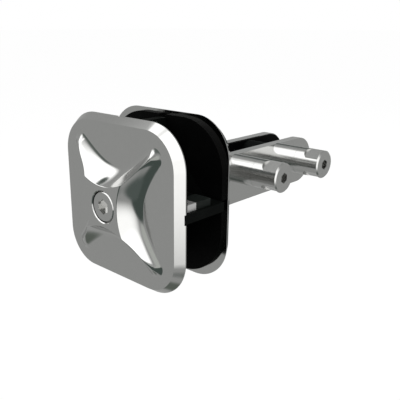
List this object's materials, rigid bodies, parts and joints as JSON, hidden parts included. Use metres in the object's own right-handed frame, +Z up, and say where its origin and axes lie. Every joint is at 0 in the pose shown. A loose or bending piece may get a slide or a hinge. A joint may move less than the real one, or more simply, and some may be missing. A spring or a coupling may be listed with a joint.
{
  "type": "glass spider fitting",
  "caption": "Polished steel clamp fitting: square plates with a raised cross hold glass panes at their corners, and paired fins with capped studs hold a glass fin behind.",
  "frame": {"origin": "on the clamp plates' axis, at the middle of the rear plate's back face, where the slot for the glass fin begins", "axes": "+X the side that the sleeves and caps stand out on, +Y back along the fins and away from the panes, +Z up"},
  "size_m": [0.1058, 0.194, 0.1],
  "materials": {
    "steel": "polished stainless steel",
    "block_metal": "plain sawn aluminium",
    "rubber": "matt black rubber",
    "nylon": "matt black nylon"
  },
  "bodies": {
    "frame": {"rear_plate": "steel", "rear_pad_top_left": "rubber", "rear_pad_top_right": "rubber", "rear_pad_bottom_left": "rubber", "rear_pad_bottom_right": "rubber", "hub_sleeve": "steel", "support_cross": "nylon", "corner_plate": "nylon", "setting_bar_left": "block_metal", "setting_bar_right": "block_metal", "setting_pad_left": "rubber", "setting_pad_right": "rubber", "fin_left": "steel", "fin_right": "steel", "liner_left": "rubber", "liner_right": "rubber", "fin_screws": "steel", "stud_front": "steel", "stud_rear": "steel", "bush_front": "nylon", "bush_rear": "nylon", "sleeve_front": "steel", "sleeve_rear": "steel", "cap_front": "steel", "cap_rear": "steel"},
    "front_clamp": {"front_plate": "steel", "front_pad_top_left": "rubber", "front_pad_top_right": "rubber", "front_pad_bottom_left": "rubber", "front_pad_bottom_right": "rubber"},
    "screw": {"clamp_screw": "steel"}
  },
  "joints": [
    {"name": "front_clamp_slide", "type": "slide", "parent": "frame", "child": "front_clamp", "axis": [0, -1, 0], "range_m": [0, 0.0035]},
    {"name": "clamp_screw_turn", "type": "hinge", "parent": "front_clamp", "child": "screw", "pos_m": [0, -0.05, 0], "axis": [0, -1, 0], "range_deg": [0, 721]}
  ],
  "couplings": [
    {"joint": "clamp_screw_turn", "follows": "front_clamp_slide", "rad_per_m": 3590.4}
  ]
}
